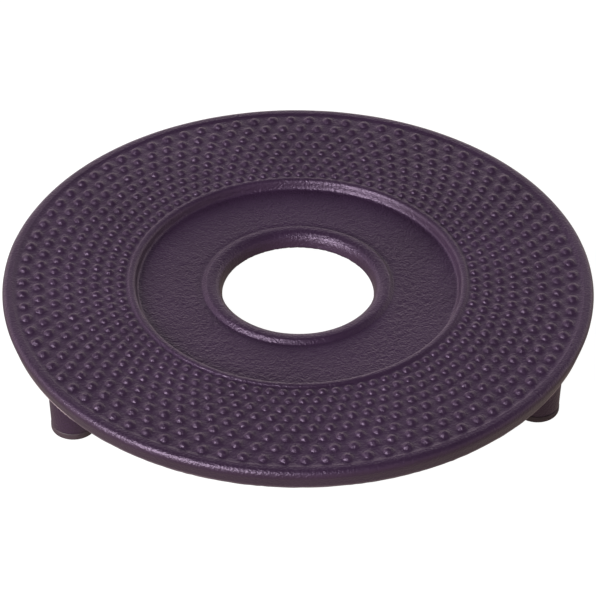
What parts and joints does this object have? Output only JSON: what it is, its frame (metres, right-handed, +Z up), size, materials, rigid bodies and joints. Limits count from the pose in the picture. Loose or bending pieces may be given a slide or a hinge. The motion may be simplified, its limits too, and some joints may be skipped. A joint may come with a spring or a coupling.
{
  "type": "teapot trivet",
  "caption": "Round cast-iron stand for a hot teapot: studded plate, sunken seat, raised collar round an open centre, and short rubber-tipped legs.",
  "frame": {"origin": "on the resting plane, on the plate's axis, in the middle of the footprint", "axes": "+Z up out of the studded side; one leg stands along +Y from the middle and the other two at 210 and 330 degrees from +X"},
  "size_m": [0.15, 0.15, 0.0188],
  "materials": {
    "lacquered_iron": "satin aubergine-black lacquer over a cast skin",
    "foot_rubber": "matt, very dark brown"
  },
  "bodies": {
    "root": {"iron_casting": "lacquered_iron", "rubber_foot_rear": "foot_rubber", "rubber_foot_left": "foot_rubber", "rubber_foot_right": "foot_rubber"}
  },
  "joints": []
}
